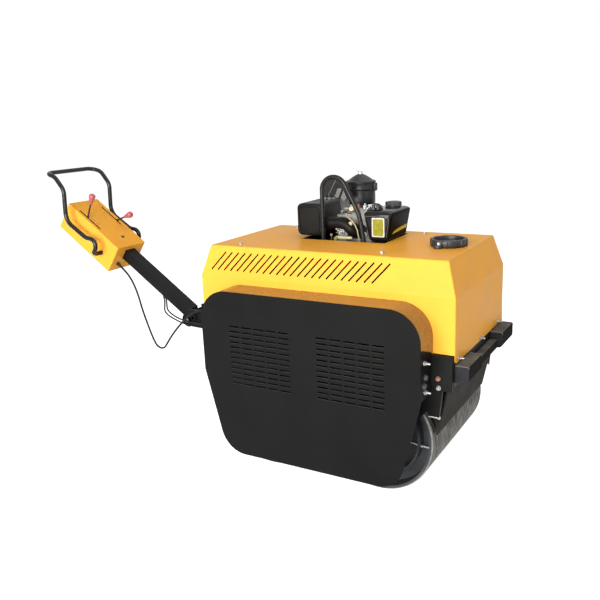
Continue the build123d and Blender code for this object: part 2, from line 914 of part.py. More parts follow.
nodes = {
    "frame_plate_right": frame_right,
    "frame_plate_left": left_of(frame_right),
    "front_beam": front_beam,
    "rear_beam": rear_of(front_beam),
    "engine_deck": slab_z(
        Rectangle(2 * deck_half, 2 * frame_inner), deck_top - deck_thickness, deck_top
    ),
    "bumper_blocks": bumpers(),
    "scraper_front": front_scraper,
    "scraper_rear": rear_of(front_scraper),
    "axle_front": front_axle_place * one_axle,
    "axle_rear": rear_axle_place * one_axle,
    "drum_front": front_axle_place * one_drum,
    "drum_rear": rear_axle_place * one_drum,
    "hood_top": lid,
    "hood_right": hood_right,
    "hood_left": left_of(hood_right),
    "hood_front": hood_front,
    "hood_rear": rear_of(hood_front),
    "cover_band_right": right_band,
    "cover_band_left": left_of(right_band),
    "side_cover_right": right_cover,
    "side_cover_left": left_of(right_cover),
    "cover_flanges": cover_flanges(),
    "engine_block": engine_block(),
    "cylinder_head": cylinder_head(),
    "muffler": muffler(),
    "exhaust_elbow": exhaust(),
    "fuel_tank": fuel_tank(),
    "fuel_cap": fuel_cap(),
    "air_filter": air_filter(),
    "lifting_hoop": lifting_hoop(),
    "filler_cap": filler_cap(),
    "tow_lugs": tow_lugs(),
    "pivot_pin": cross_pin(pivot),
    "stop_bolt": cross_pin(stop),
    "drawbar": drawbar(),
    "control_box": control_box(),
    "handlebar": handlebar(),
    "lever_shaft": lever_shaft(),
    "levers": [right_lever, left_lever],
    "lever_knobs": [knob(right_knob_plane), knob(left_knob_plane)],
    "handle_glands": handle_glands(),
    "rear_glands": rear_glands(),
    "control_hose": control_hose,
    "control_cable": control_cable,
    "second_cable": second_cable,
}


def solids_of(piece):
    return piece if isinstance(piece, list) else [piece]


whole = Compound([solid for piece in nodes.values() for solid in solids_of(piece)])
middle = whole.bounding_box().center().X
to_origin = Pos(X=-middle)

os.makedirs("parts", exist_ok=True)
for name, piece in nodes.items():
    export_step(to_origin * Compound(solids_of(piece)), f"parts/{name}.step")

print("shift", -middle)
print("pivot", pivot.X - middle, pivot.Z)
print("axles", drum_spacing / 2 - middle, -drum_spacing / 2 - middle)
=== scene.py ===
import math

import bmesh
import bpy
from mathutils import Matrix, Vector


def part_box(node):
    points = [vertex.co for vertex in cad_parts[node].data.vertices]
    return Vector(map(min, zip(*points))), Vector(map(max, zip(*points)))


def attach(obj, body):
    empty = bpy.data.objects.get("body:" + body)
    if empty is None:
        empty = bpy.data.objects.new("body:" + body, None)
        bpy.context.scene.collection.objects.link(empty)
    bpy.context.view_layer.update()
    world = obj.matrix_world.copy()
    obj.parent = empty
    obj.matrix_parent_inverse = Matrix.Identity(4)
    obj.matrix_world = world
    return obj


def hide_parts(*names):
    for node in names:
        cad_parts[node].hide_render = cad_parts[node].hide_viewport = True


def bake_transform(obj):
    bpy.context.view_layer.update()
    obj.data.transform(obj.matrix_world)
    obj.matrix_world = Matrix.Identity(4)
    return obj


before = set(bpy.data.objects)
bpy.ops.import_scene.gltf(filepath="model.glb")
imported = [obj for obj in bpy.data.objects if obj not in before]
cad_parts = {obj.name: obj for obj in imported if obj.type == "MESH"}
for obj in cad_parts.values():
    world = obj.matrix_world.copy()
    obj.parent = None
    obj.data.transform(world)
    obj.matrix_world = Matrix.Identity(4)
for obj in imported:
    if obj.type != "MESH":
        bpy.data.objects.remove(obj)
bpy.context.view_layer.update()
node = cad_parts
scene = bpy.context.scene


# Studio
# A plain pale floor and a white surround, lit by three soft panels. The largest stands
# beside the machine, so that its side reads brighter than its top and its front.
def on_machine(x, y, z):
    # From the point on the ground midway between the drums.
    return Vector((middle_x + x, y, z))


def add_node(tree, kind, *values):
    # A shader node with constants on the named sockets.
    made = tree.nodes.new(kind)
    for socket, value in values:
        made.inputs[socket].default_value = value
    return made


def ray_switch(tree, *rays):
    # Gives 1 for the named kinds of ray and 0 for all others.
    path = add_node(tree, "ShaderNodeLightPath")
    switch = path.outputs[rays[0]]
    for ray in rays[1:]:
        either = add_node(tree, "ShaderNodeMath")
        either.operation = "MAXIMUM"
        tree.links.new(switch, either.inputs[0])
        tree.links.new(path.outputs[ray], either.inputs[1])
        switch = either.outputs[0]
    return switch


drum_low, drum_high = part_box("drum_front")
rear_drum_low, rear_drum_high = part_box("drum_rear")
middle_x = (drum_low.x + drum_high.x + rear_drum_low.x + rear_drum_high.x) / 4
surround_colour = (1, 1, 1, 1)
surround_light = 0.30
floor_half = 30.0
floor_lift = 0.80
floor_colour = (0.80, 0.80, 0.79, 1)
# Name, place, width and height, watts and tint of each panel.
panels = (
    ("side_panel", (0.1, -5.2, 1.75), (4.2, 2.6), 500, (1.0, 0.97, 0.92)),
    ("front_panel", (4.6, -1.6, 2.4), (2.6, 2.0), 25, (1.0, 0.98, 0.95)),
    ("top_panel", (0.9, 1.2, 5.0), (4.0, 4.0), 70, (0.97, 0.98, 1.0)),
)
panel_aim = on_machine(-0.1, 0, 0.55)

scene.view_settings.view_transform = "Standard"
world = bpy.data.worlds.new("white_surround")
scene.world = world
world.use_nodes = True
sky = world.node_tree
sky.nodes.clear()
ambient = add_node(sky, "ShaderNodeBackground", ("Color", surround_colour), ("Strength", surround_light))
white = add_node(sky, "ShaderNodeBackground", ("Color", surround_colour), ("Strength", 1.0))
choose = add_node(sky, "ShaderNodeMixShader")
surround = add_node(sky, "ShaderNodeOutputWorld")
seen = ray_switch(sky, "Is Camera Ray", "Is Glossy Ray", "Is Transmission Ray")
sky.links.new(seen, choose.inputs[0])
sky.links.new(ambient.outputs[0], choose.inputs[1])
sky.links.new(white.outputs[0], choose.inputs[2])
sky.links.new(choose.outputs[0], surround.inputs["Surface"])

floor_mesh = bpy.data.meshes.new("studio_floor")
corners = [(middle_x + x * floor_half, y * floor_half, 0) for x, y in ((-1, -1), (1, -1), (1, 1), (-1, 1))]
floor_mesh.from_pydata(corners, [], [(0, 1, 2, 3)])
floor = bpy.data.objects.new("studio_floor", floor_mesh)
scene.collection.objects.link(floor)
floor_paper = bpy.data.materials.new("pale_paper")
floor_paper.use_nodes = True
paper = floor_paper.node_tree
paper.nodes.clear()
diffuse = add_node(paper, "ShaderNodeBsdfDiffuse", ("Color", floor_colour))
glow = add_node(paper, "ShaderNodeEmission", ("Strength", floor_lift))
lit = add_node(paper, "ShaderNodeAddShader")
choose = add_node(paper, "ShaderNodeMixShader")
surface = add_node(paper, "ShaderNodeOutputMaterial")
paper.links.new(diffuse.outputs[0], lit.inputs[0])
paper.links.new(glow.outputs[0], lit.inputs[1])
paper.links.new(ray_switch(paper, "Is Camera Ray", "Is Glossy Ray"), choose.inputs[0])
paper.links.new(diffuse.outputs[0], choose.inputs[1])
paper.links.new(lit.outputs[0], choose.inputs[2])
paper.links.new(choose.outputs[0], surface.inputs["Surface"])
floor_mesh.materials.append(floor_paper)

for name, place, size, watts, tint in panels:
    lamp = bpy.data.lights.new(name, "AREA")
    lamp.shape = "RECTANGLE"
    lamp.size, lamp.size_y = size
    lamp.energy = watts
    lamp.color = tint
    stand = bpy.data.objects.new(name, lamp)
    stand.location = on_machine(*place)
    stand.rotation_mode = "QUATERNION"
    stand.rotation_quaternion = (panel_aim - stand.location).to_track_quat("-Z", "Y")
    scene.collection.objects.link(stand)


# Camera
# It stands ahead of the machine's right front corner at chest height and looks slightly down. Its
# place, angles and lens are those that set the machine in the frame as the photograph does.
camera_azimuth = math.radians(30.723)
camera_elevation = math.radians(14.592)
camera_roll = math.radians(-2.376)
camera_place = on_machine(1.264, -2.547, 1.392)
camera_data = bpy.data.cameras.new("photo_camera")
camera_data.sensor_width = 36.0
camera_data.lens = 42.965
look = Vector((
    -math.sin(camera_azimuth) * math.cos(camera_elevation),
    math.cos(camera_azimuth) * math.cos(camera_elevation),
    -math.sin(camera_elevation),
))
level_right = look.cross(Vector((0, 0, 1))).normalized()
level_up = level_right.cross(look)
camera_right = level_right * math.cos(camera_roll) + level_up * math.sin(camera_roll)
camera_up = level_up * math.cos(camera_roll) - level_right * math.sin(camera_roll)
camera = bpy.data.objects.new("photo_camera", camera_data)
camera_turn = Matrix((camera_right, camera_up, -look)).transposed()
camera.matrix_world = Matrix.Translation(camera_place) @ camera_turn.to_4x4()
scene.collection.objects.link(camera)
scene.camera = camera


# Control hose and cables
# A black rubber hose and two thinner sheathed cables hang in loose bends from the handle to
# sockets in the rear beam. They are extruded, and only the glands at their ends hold them.
def coating(name, colour, rough, metal=0.0, mottle=0.2, mottle_scale=60, relief=0.00004, relief_scale=900.0,
            specular=0.5, soften=0.0, stretch=(1, 1, 1), fade=0.2):
    # A finish whose tone, gloss and fine relief wander a little, as on any real surface.
    material = bpy.data.materials.new(name)
    material.use_nodes = True
    tree = material.node_tree
    links = tree.links
    shader = tree.nodes["Principled BSDF"]
    shader.inputs["Metallic"].default_value = metal
    shader.inputs["Specular IOR Level"].default_value = specular
    place = add_node(tree, "ShaderNodeTexCoord")
    spread = add_node(tree, "ShaderNodeMapping", ("Scale", stretch))
    cloud = add_node(tree, "ShaderNodeTexNoise", ("Scale", mottle_scale), ("Detail", 6))
    tone = add_node(tree, "ShaderNodeValToRGB")
    dark, light = tone.color_ramp.elements
    dark.position = 0.5 - fade
    light.position = 0.5 + fade
    dark.color = (*[channel * (1 - mottle) for channel in colour], 1)
    light.color = (*[min(1.0, channel * (1 + mottle)) for channel in colour], 1)
    gloss_swing = 0.15
    gloss = add_node(tree, "ShaderNodeMapRange", ("From Min", 0.3), ("From Max", 0.7),
                     ("To Min", rough * (1 - gloss_swing)), ("To Max", min(1.0, rough * (1 + gloss_swing))))
    grain = add_node(tree, "ShaderNodeTexNoise", ("Scale", relief_scale), ("Detail", 3))
    bump = add_node(tree, "ShaderNodeBump", ("Strength", 1.0), ("Distance", relief))
    links.new(place.outputs["Object"], spread.inputs["Vector"])
    links.new(spread.outputs["Vector"], cloud.inputs["Vector"])
    links.new(spread.outputs["Vector"], grain.inputs["Vector"])
    links.new(cloud.outputs["Fac"], tone.inputs["Fac"])
    links.new(cloud.outputs["Fac"], gloss.inputs["Value"])
    links.new(grain.outputs["Fac"], bump.inputs["Height"])
    links.new(tone.outputs["Color"], shader.inputs["Base Color"])
    links.new(gloss.outputs["Result"], shader.inputs["Roughness"])
    links.new(bump.outputs["Normal"], shader.inputs["Normal"])
    if soften:
        edge = add_node(tree, "ShaderNodeBevel", ("Radius", soften))
        edge.samples = 4
        links.new(edge.outputs["Normal"], bump.inputs["Normal"])
    return material


def add_tube(mesh, points, radius, sides=16, closed=False):
    # A round tube along the points, its rings carried along untwisted, with capped or joined ends.
    points = [Vector(point) for point in points]
    rings = []
    heading = (points[1] - points[0]).normalized()
    side = heading.orthogonal().normalized()
    for number, point in enumerate(points):
        before = points[number - 1] if closed else points[max(number - 1, 0)]
        after = points[(number + 1) % len(points)] if closed else points[min(number + 1, len(points) - 1)]
        new_heading = (after - before).normalized()
        side = heading.rotation_difference(new_heading) @ side
        heading = new_heading
        other = heading.cross(side)
        ring = []
        for step in range(sides):
            angle = 2 * math.pi * step / sides
            ring.append(mesh.verts.new(point + radius * (math.cos(angle) * side + math.sin(angle) * other)))
        rings.append(ring)
    for ring, following in zip(rings, rings[1:] + (rings[:1] if closed else [])):
        for step in range(sides):
            after = (step + 1) % sides
            mesh.faces.new((ring[step], ring[after], following[after], following[step]))
    if not closed:
        mesh.faces.new(rings[0][::-1])
        mesh.faces.new(rings[-1])


def make_piece(name, mesh, material, body="chassis", sharp=math.radians(35)):
    bmesh.ops.recalc_face_normals(mesh, faces=mesh.faces)
    data = bpy.data.meshes.new(name)
    mesh.to_mesh(data)
    mesh.free()
    data.shade_smooth()
    data.set_sharp_from_angle(angle=sharp)
    data.materials.append(material)
    made = bpy.data.objects.new(name, data)
    scene.collection.objects.link(made)
    if body:
        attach(made, body)
    return made


def hang_cord(name, route, diameter):
    line_data = bpy.data.curves.new(name + "_line", "CURVE")
    line_data.dimensions = "3D"
    line_data.resolution_u = 12
    spline = line_data.splines.new("NURBS")
    spline.points.add(len(route) - 1)
    for control, place in zip(spline.points, route):
        control.co = (*on_machine(*place), 1)
    spline.order_u = 3
    spline.use_endpoint_u = True
    line = bpy.data.objects.new(name + "_line", line_data)
    scene.collection.objects.link(line)
    line_mesh = bpy.data.meshes.new_from_object(line)
    path = [vertex.co.copy() for vertex in line_mesh.vertices]
    bpy.data.objects.remove(line)
    mesh = bmesh.new()
    add_tube(mesh, path, diameter / 2)
    made = make_piece(name + "_sheath", mesh, sheath_rubber, body=None)
    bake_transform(made)
    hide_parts(name)


sheath_rubber = coating("sheath_rubber", (0.009, 0.009, 0.0095), 0.5, mottle=0.25, specular=0.15)
hose_diameter = 0.009
cable_diameter = 0.007
hose_route = [
    (-1.22771, -0.050, 0.71023), (-1.196, -0.051, 0.688), (-1.160, -0.053, 0.650),
    (-1.133, -0.055, 0.600), (-1.117, -0.056, 0.552), (-1.104, -0.057, 0.504),
    (-1.082, -0.058, 0.444), (-1.060, -0.060, 0.392), (-1.048, -0.061, 0.366),
    (-1.031, -0.062, 0.338), (-1.0135, -0.063, 0.327), (-0.993, -0.065, 0.325),
    (-0.974, -0.067, 0.333), (-0.950, -0.071, 0.361), (-0.910, -0.084, 0.404),
    (-0.848, -0.100, 0.463), (-0.777, -0.112, 0.522), (-0.7395, -0.115, 0.544),
    (-0.707, -0.116, 0.558), (-0.668, -0.117, 0.559), (-0.628, -0.119, 0.546),
    (-0.592, -0.120, 0.524), (-0.550, -0.120, 0.524),
]
cable_route = [
    (-0.990, -0.021, 0.56224), (-0.990, -0.021, 0.536), (-0.985, -0.035, 0.507),
    (-0.959, -0.045, 0.491), (-0.921, -0.056, 0.483), (-0.883, -0.070, 0.479),
    (-0.847, -0.084, 0.477), (-0.808, -0.092, 0.474), (-0.760, -0.096, 0.471),
    (-0.700, -0.102, 0.472), (-0.645, -0.108, 0.476), (-0.588, -0.112, 0.480),
    (-0.546, -0.112, 0.480),
]
second_cable_route = [
    (-0.990, -0.008, 0.56224), (-0.990, -0.008, 0.537), (-0.979, -0.021, 0.510),
    (-0.950, -0.033, 0.497), (-0.914, -0.047, 0.490), (-0.878, -0.063, 0.488),
    (-0.843, -0.078, 0.488), (-0.806, -0.083, 0.485), (-0.758, -0.086, 0.482),
    (-0.700, -0.090, 0.484), (-0.645, -0.095, 0.490), (-0.588, -0.098, 0.496),
    (-0.546, -0.098, 0.496),
]
hang_cord("control_hose", hose_route, hose_diameter)
hang_cord("control_cable", cable_route, cable_diameter)
hang_cord("second_cable", second_cable_route, cable_diameter)


# Frame
# Two flame-cut steel side plates, two folded cross beams and the engine deck are welded up and
# painted satin black. Bolts at the plates' ends hold the beams, one of them with a copper tone.
def dress(name, *materials):
    skin = node[name].data.materials
    skin.clear()
    for material in materials:
        skin.append(material)


def add_lathe(mesh, place, axis, profile, sides=32, grips=0, grip_depth=0.0, grip_from=1.0):
    # A turned form of (radius, height) points about the axis. Points outside grip_from take grip lugs.
    upright = Vector((0, 0, 1)).rotation_difference(Vector(axis)).to_matrix()
    rings = []
    for radius, height in profile:
        if radius == 0:
            rings.append([mesh.verts.new(Vector(place) + upright @ Vector((0, 0, height)))])
            continue
        ring = []
        for step in range(sides):
            angle = 2 * math.pi * step / sides
            sunk = grips and radius >= grip_from and (step * grips * 2 // sides) % 2
            reach = radius - grip_depth if sunk else radius
            spot = Vector((reach * math.cos(angle), reach * math.sin(angle), height))
            ring.append(mesh.verts.new(Vector(place) + upright @ spot))
        rings.append(ring)
    for lower, upper in zip(rings, rings[1:]):
        for step in range(sides):
            after = (step + 1) % sides
            corners = [lower[step % len(lower)], lower[after % len(lower)]]
            corners += [upper[after % len(upper)], upper[step % len(upper)]]
            mesh.faces.new(list(dict.fromkeys(corners)))


def add_bolt(mesh, place, axis, head, height, washer=0.0, washer_height=0.002, stud=0.0, stud_height=0.0):
    # A washer, a hexagon head or nut with a chamfered crown, and the stud end that stands out of it.
    seat = 0.0
    sunk = 0.001
    axis = Vector(axis).normalized()
    if washer:
        disc = [(0, -sunk), (washer, -sunk), (washer, washer_height), (0, washer_height)]
        add_lathe(mesh, place, axis, disc, 24)
        seat = washer_height
    top = seat + height
    shoulder = seat + height * 0.82
    flat = head * 0.86
    crown = [(0, seat - sunk), (head, seat - sunk), (head, shoulder), (flat, top), (0, top)]
    add_lathe(mesh, place, axis, crown, 6)
    if stud:
        tip = top + stud_height
        chamfer = 0.001
        thread = [(0, seat), (stud, seat), (stud, tip - chamfer), (stud * 0.8, tip), (0, tip)]
        add_lathe(mesh, place, axis, thread, 14)


def rod_form(radius, length):
    return [(0, 0), (radius, 0), (radius, length), (0, length)]


frame_black = coating("frame_black", (0.0075, 0.0075, 0.0078), 0.45, mottle=0.3, mottle_scale=9,
                      specular=0.07, soften=0.0015)
zinc = coating("zinc_plate", (0.40, 0.40, 0.41), 0.40, metal=1.0, mottle=0.18, mottle_scale=80)
copper_zinc = coating("copper_zinc", (0.38, 0.21, 0.14), 0.42, metal=1.0, mottle_scale=80)
plate_face = 0.315
zinc_bolt = (0.481, 0.453)
copper_bolt = (0.479, 0.487)
frame_bolt = dict(head=0.0078, height=0.007, washer=0.0088)
hanger_rod_start = 0.443
hanger_rod_length = 0.037
hanger_rod_radius = 0.0034
hanger_nut = dict(head=hanger_rod_radius * 2, height=0.005)
hanger_rod_y = 0.309
hanger_rod_z = 0.3385
for name in ("frame_plate_right", "frame_plate_left", "front_beam", "rear_beam", "engine_deck"):
    dress(name, frame_black)
zinc_bolts = bmesh.new()
copper_bolts = bmesh.new()
for end in (1, -1):
    for side in (-1, 1):
        for mesh, (x, z) in ((zinc_bolts, zinc_bolt), (copper_bolts, copper_bolt)):
            bolt_place = on_machine(end * x, side * plate_face, z)
            add_bolt(mesh, bolt_place, (0, side, 0), **frame_bolt)
        rod_start = on_machine(end * hanger_rod_start, side * hanger_rod_y, hanger_rod_z)
        add_lathe(zinc_bolts, rod_start, (end, 0, 0), rod_form(hanger_rod_radius, hanger_rod_length), 12)
        rod_tip = rod_start + Vector((end * hanger_rod_length, 0, 0))
        add_bolt(zinc_bolts, rod_tip, (end, 0, 0), **hanger_nut)
make_piece("frame_zinc_bolts", zinc_bolts, zinc)
make_piece("frame_copper_bolts", copper_bolts, copper_zinc)


# Drums and axles
# Each drum is rolled from thick steel plate, left bare and worn in streaks by the road, with bright
# turned rims. The end discs are painted blue-grey and carry long bolts through their ring.
drum_bare = coating("drum_bare", (0.100, 0.095, 0.084), 0.60, metal=0.2, mottle=0.85, mottle_scale=5.0,
                    relief=0.0006, relief_scale=14, specular=0.12, stretch=(4, 21, 4), fade=0.10)
drum_rim = coating("drum_rim", (0.20, 0.20, 0.205), 0.42, metal=0.8, mottle=0.35)
drum_inside = coating("drum_inside", (0.046, 0.050, 0.056), 0.5, mottle=0.35, mottle_scale=12,
                      specular=0.15)
axle_steel = coating("axle_steel", (0.05, 0.05, 0.052), 0.45, metal=0.3, mottle=0.3, mottle_scale=20)
drum_radius = (drum_high.z - drum_low.z) / 2
drum_skin_depth = 0.003
drum_rim_depth = 0.0065
ring_bolt_angles = [math.radians(-7.7 + 120 * turn) for turn in range(3)]
ring_bolt_start = 0.122
ring_bolt_length = 0.072
ring_bolt_radius = 0.0042
ring_bolt_side = 0.265
ring_nut = dict(head=ring_bolt_radius * 1.9, height=0.007)
ring_inner = 0.1555
ring_outer = 0.1645
for name, body in (("drum_front", "front_drum"), ("drum_rear", "rear_drum")):
    dress(name, drum_bare, drum_rim, drum_inside)
    low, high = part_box(name)
    axle = (low + high) / 2
    for face in node[name].data.polygons:
        spoke = Vector((face.center.x - axle.x, 0, face.center.z - axle.z))
        outward = face.normal.dot(spoke.normalized())
        if spoke.length > drum_radius - drum_skin_depth and outward > 0.9:
            face.material_index = 0
        elif spoke.length > drum_radius - drum_rim_depth and outward > -0.5:
            face.material_index = 1
        else:
            face.material_index = 2
    ring_bolts = bmesh.new()
    for side in (-1, 1):
        for angle in ring_bolt_angles:
            spoke = Vector((math.cos(angle), 0, math.sin(angle)))
            hub = Vector((axle.x, side * ring_bolt_side, axle.z))
            shank = rod_form(ring_bolt_radius, ring_bolt_length)
            add_lathe(ring_bolts, hub + spoke * ring_bolt_start, spoke, shank, 12)
            add_bolt(ring_bolts, hub + spoke * ring_outer, spoke, **ring_nut)
            add_bolt(ring_bolts, hub + spoke * ring_inner, -spoke, **ring_nut)
    make_piece(name + "_ring_bolts", ring_bolts, zinc, body)
for name in ("axle_front", "axle_rear"):
    dress(name, axle_steel)


# Scrapers
# A folded steel blade hangs before each drum and keeps it clean. It is painted black, and dust
# from the road has dulled it to brown.
scraper_paint = coating("scraper_paint", (0.021, 0.0185, 0.0155), 0.6, mottle=0.35, mottle_scale=10,
                        specular=0.02, soften=0.001)
for name in ("scraper_front", "scraper_rear"):
    dress(name, scraper_paint)


# Bumper
# Two moulded rubber blocks on a bar across the front beam take knocks. They are solid, with
# rounded edges. The skin is slightly blue where it is clean and dusty on top. Its front is painted
# darker as shade, and pale painted highlights run along the top edges at the ends of the blocks.
bumper_skin = coating("bumper_skin", (0.022, 0.0225, 0.0255), 0.42, mottle=0.25, mottle_scale=20,
                      specular=0.03, soften=0.003)
bumper_dust = coating("bumper_dust", (0.112, 0.106, 0.095), 0.7, mottle=0.4, mottle_scale=16, specular=0.03,
                      soften=0.003)
# A darker copy of the rubber with its reflection cut, painted shade for the faces turned forward.
bumper_front_shade = coating("bumper_front_shade", (0.0170, 0.0165, 0.0150), 0.7, mottle=0.3, mottle_scale=16,
                         specular=0.006, soften=0.003)
# Pale grey for the thin tubes along the blocks' top end edges: a painted highlight.
bumper_edge_highlight = coating("bumper_edge_highlight", (0.13, 0.132, 0.14), 0.4, mottle=0.3, mottle_scale=30, specular=0.1)
bumper_low, bumper_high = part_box("bumper_blocks")
bumper_half_gap = 0.138
bumper_top_round = 0.007
edge_inset = 0.003
edge_radius = 0.0014
edge_steps = 3
dress("bumper_blocks", bumper_skin, bumper_dust, bumper_front_shade)
for face in node["bumper_blocks"].data.polygons:
    if face.normal.z > 0.8:
        face.material_index = 1
    # Faces turned forward take the painted shade.
    elif face.normal.x > 0.5:
        face.material_index = 2
    else:
        face.material_index = 0
# Painted highlight lines along the top edge at each end of the blocks.
highlight_edges = bmesh.new()
for y in (bumper_low.y, -bumper_half_gap, bumper_half_gap, bumper_high.y):
    edge_path = [(bumper_low.x + edge_inset, y, bumper_high.z)]
    for step in range(edge_steps + 1):
        angle = math.pi / 2 * step / edge_steps
        x = bumper_high.x - bumper_top_round * (1 - math.sin(angle))
        z = bumper_high.z - bumper_top_round * (1 - math.cos(angle))
        edge_path.append((x, y, z))
    add_tube(highlight_edges, edge_path, edge_radius, 8)
make_piece("bumper_highlight_edges", highlight_edges, bumper_edge_highlight)


# Hood
# Five folded steel sheets, painted in yellow enamel with a slight orange peel, screw together at
# their edges. Zinc screws fix the end sheets to the beams and the top sheet to the sides.
enamel = coating("yellow_enamel", (0.84, 0.385, 0.046), 0.40, mottle=0.045, mottle_scale=7, relief=0.00006,
                 relief_scale=260, specular=0.055, soften=0.0015)
# Near black for the hood's inner faces and slot walls: painted shade for the dark inside of the hood.
hood_inside_shade = coating("hood_inside_shade", (0.006, 0.0055, 0.005), 0.8, mottle=0.3, mottle_scale=12,
                      specular=0.05)
slots_start = -0.50
slots_end = 0.30
slots_low = 0.775
slots_high = 0.882
hood_end = 0.533
front_screw_height = 0.552
front_screws = (-0.258, -0.010, 0.228)
front_screw = dict(head=0.0066, height=0.006, washer=0.0080, stud=0.0036, stud_height=0.011)
top_screws = ((-0.381, 0.226), (0.230, 0.215))
top_sheet = 0.894
top_screw = dict(head=0.0075, height=0.006, washer=0.010)
for name in ("hood_top", "hood_right", "hood_left", "hood_front", "hood_rear"):
    dress(name, enamel, hood_inside_shade)
# Faces turned inward, and the walls among the slots, take the painted shade.
for side, name in ((-1, "hood_right"), (1, "hood_left")):
    for face in node[name].data.polygons:
        spot = face.center
        outward = face.normal.y * side
        among_slots = slots_start < spot.x - middle_x < slots_end and slots_low < spot.z < slots_high
        face.material_index = int(outward < -0.5 or (among_slots and outward < 0.6))
hood_screws = bmesh.new()
for end in (1, -1):
    for y in front_screws:
        screw_place = on_machine(end * hood_end, y, front_screw_height)
        add_bolt(hood_screws, screw_place, (end, 0, 0), **front_screw)
for x, y in top_screws:
    for side in (-1, 1):
        screw_place = on_machine(x, side * y, top_sheet)
        add_bolt(hood_screws, screw_place, (0, 0, 1), **top_screw)
make_piece("hood_screws", hood_screws, zinc)


# Closing strips
# Two flat strips of the same yellow sheet lie flush in the ends of the engine opening and close
# it up to the tank and the muffler. They are screwed on from below.
def add_loft(mesh, sections):
    # A closed form through rings of points, capped at both ends.
    rings = [[mesh.verts.new(point) for point in section] for section in sections]
    for lower, upper in zip(rings, rings[1:]):
        for step in range(len(lower)):
            after = (step + 1) % len(lower)
            mesh.faces.new((lower[step], lower[after], upper[after], upper[step]))
    mesh.faces.new(rings[0][::-1])
    mesh.faces.new(rings[-1])


strip_ends = ((-0.2518, -0.214), (0.160, 0.1838))
strip_right = -0.0338
strip_left = 0.2138
strip_levels = (0.8912, 0.8940)
strips = bmesh.new()
for rear, front in strip_ends:
    plan = ((rear, strip_right), (front, strip_right), (front, strip_left), (rear, strip_left))
    add_loft(strips, [[on_machine(x, y, z) for x, y in plan] for z in strip_levels])
make_piece("opening_strips", strips, enamel)


# Shade sheets
# Near-black sheets hang inside the hood behind the slots as painted shade. They reach up under
# the top sheet by their upper edges and leave room below for the air.
# Near black standing in for the shade inside the hood.
lining_shade = coating("lining_shade", (0.004, 0.004, 0.004), 0.95, mottle=0.3, relief=0.0008,
                      relief_scale=300, specular=0.1)
lining_rear = -0.48
lining_front = 0.36
lining_low = (0.276, 0.778)
lining_high = (0.2462, 0.8907)
lining_thickness = 0.006
lining_sheet = [
    (lining_rear, *lining_low), (lining_front, *lining_low), (lining_front, *lining_high),
    (lining_rear, *lining_high),
]
lining = bmesh.new()
for side in (-1, 1):
    faces = []
    for inset in (0, lining_thickness):
        faces.append([on_machine(x, side * (y - inset), z) for x, y, z in lining_sheet])
    add_loft(lining, faces)
make_piece("shade_lining", lining, lining_shade)


# Side covers
# A flat slotted cover closes the drum drive on each side. The lower lips of its slots are painted pale
# as highlights. A bent band in a darker copy of the hood's yellow, painted shade, joins it to the
# hood, and bolted flanges hold its ends.
cover_black = coating("cover_black", (0.0060, 0.0060, 0.0063), 0.50, mottle=0.16, mottle_scale=5,
                      relief=0.00005, relief_scale=400, specular=0.06, soften=0.0012)
# The hood's yellow made darker and glossier for the band: painted shade.
band_enamel_shaded = coating("band_enamel_shaded", (0.27, 0.145, 0.045), 0.26, mottle=0.06, mottle_scale=7,
                      relief=0.00006, relief_scale=260, specular=0.26, soften=0.0015)
# A paler grey than the cover for the slot lips: a painted highlight.
lip_highlight = coating("lip_highlight", (0.026, 0.026, 0.0265), 0.6, mottle=0.5, mottle_scale=30, specular=0.06)
cover_face = 0.419
slot_length = 0.045
slot_height = 0.006
slot_columns = 5
slot_rows = 12
slot_pitch = (0.055, 0.0208)
slot_groups = (-0.190, 0.190)
slot_group_height = 0.498
lip_radius = 0.0011
lip_drop = (slot_height + lip_radius) / 2
dark_bolt_steel = coating("dark_bolt_steel", (0.07, 0.07, 0.072), 0.5, metal=0.5, mottle=0.35,
                          mottle_scale=70)
flange_face = 0.454
flange_studs = ((0.385, 0.562), (0.380, 0.456))
flange_bolts = ((0.376, 0.508), (0.390, 0.482))
flange_nut = dict(head=0.0075, height=0.007, washer=0.0095, stud=0.004, stud_height=0.013)
flange_bolt = dict(head=0.0095, height=0.007, washer=0.012)
for name in ("side_cover_right", "side_cover_left", "cover_flanges"):
    dress(name, cover_black)
# The bands take the darker copy of the yellow, painted shade.
for name in ("cover_band_right", "cover_band_left"):
    dress(name, band_enamel_shaded)
slot_lips = bmesh.new()
for side in (-1, 1):
    for group in slot_groups:
        for column in range(slot_columns):
            x = group + (column - (slot_columns - 1) / 2) * slot_pitch[0]
            for row in range(slot_rows):
                z = slot_group_height + (row - (slot_rows - 1) / 2) * slot_pitch[1] - lip_drop
                lip = [on_machine(x + share * slot_length / 2, side * cover_face, z) for share in (-1, 1)]
                add_tube(slot_lips, lip, lip_radius, 8)
make_piece("slot_lips", slot_lips, lip_highlight)
studs = bmesh.new()
dark_bolts = bmesh.new()
for end in (1, -1):
    for side in (-1, 1):
        for y, z in flange_studs:
            stud_place = on_machine(end * flange_face, side * y, z)
            add_bolt(studs, stud_place, (end, 0, 0), **flange_nut)
        for y, z in flange_bolts:
            bolt_place = on_machine(end * flange_face, side * y, z)
            add_bolt(dark_bolts, bolt_place, (end, 0, 0), **flange_bolt)
make_piece("flange_studs", studs, zinc)
make_piece("flange_bolts", dark_bolts, dark_bolt_steel)


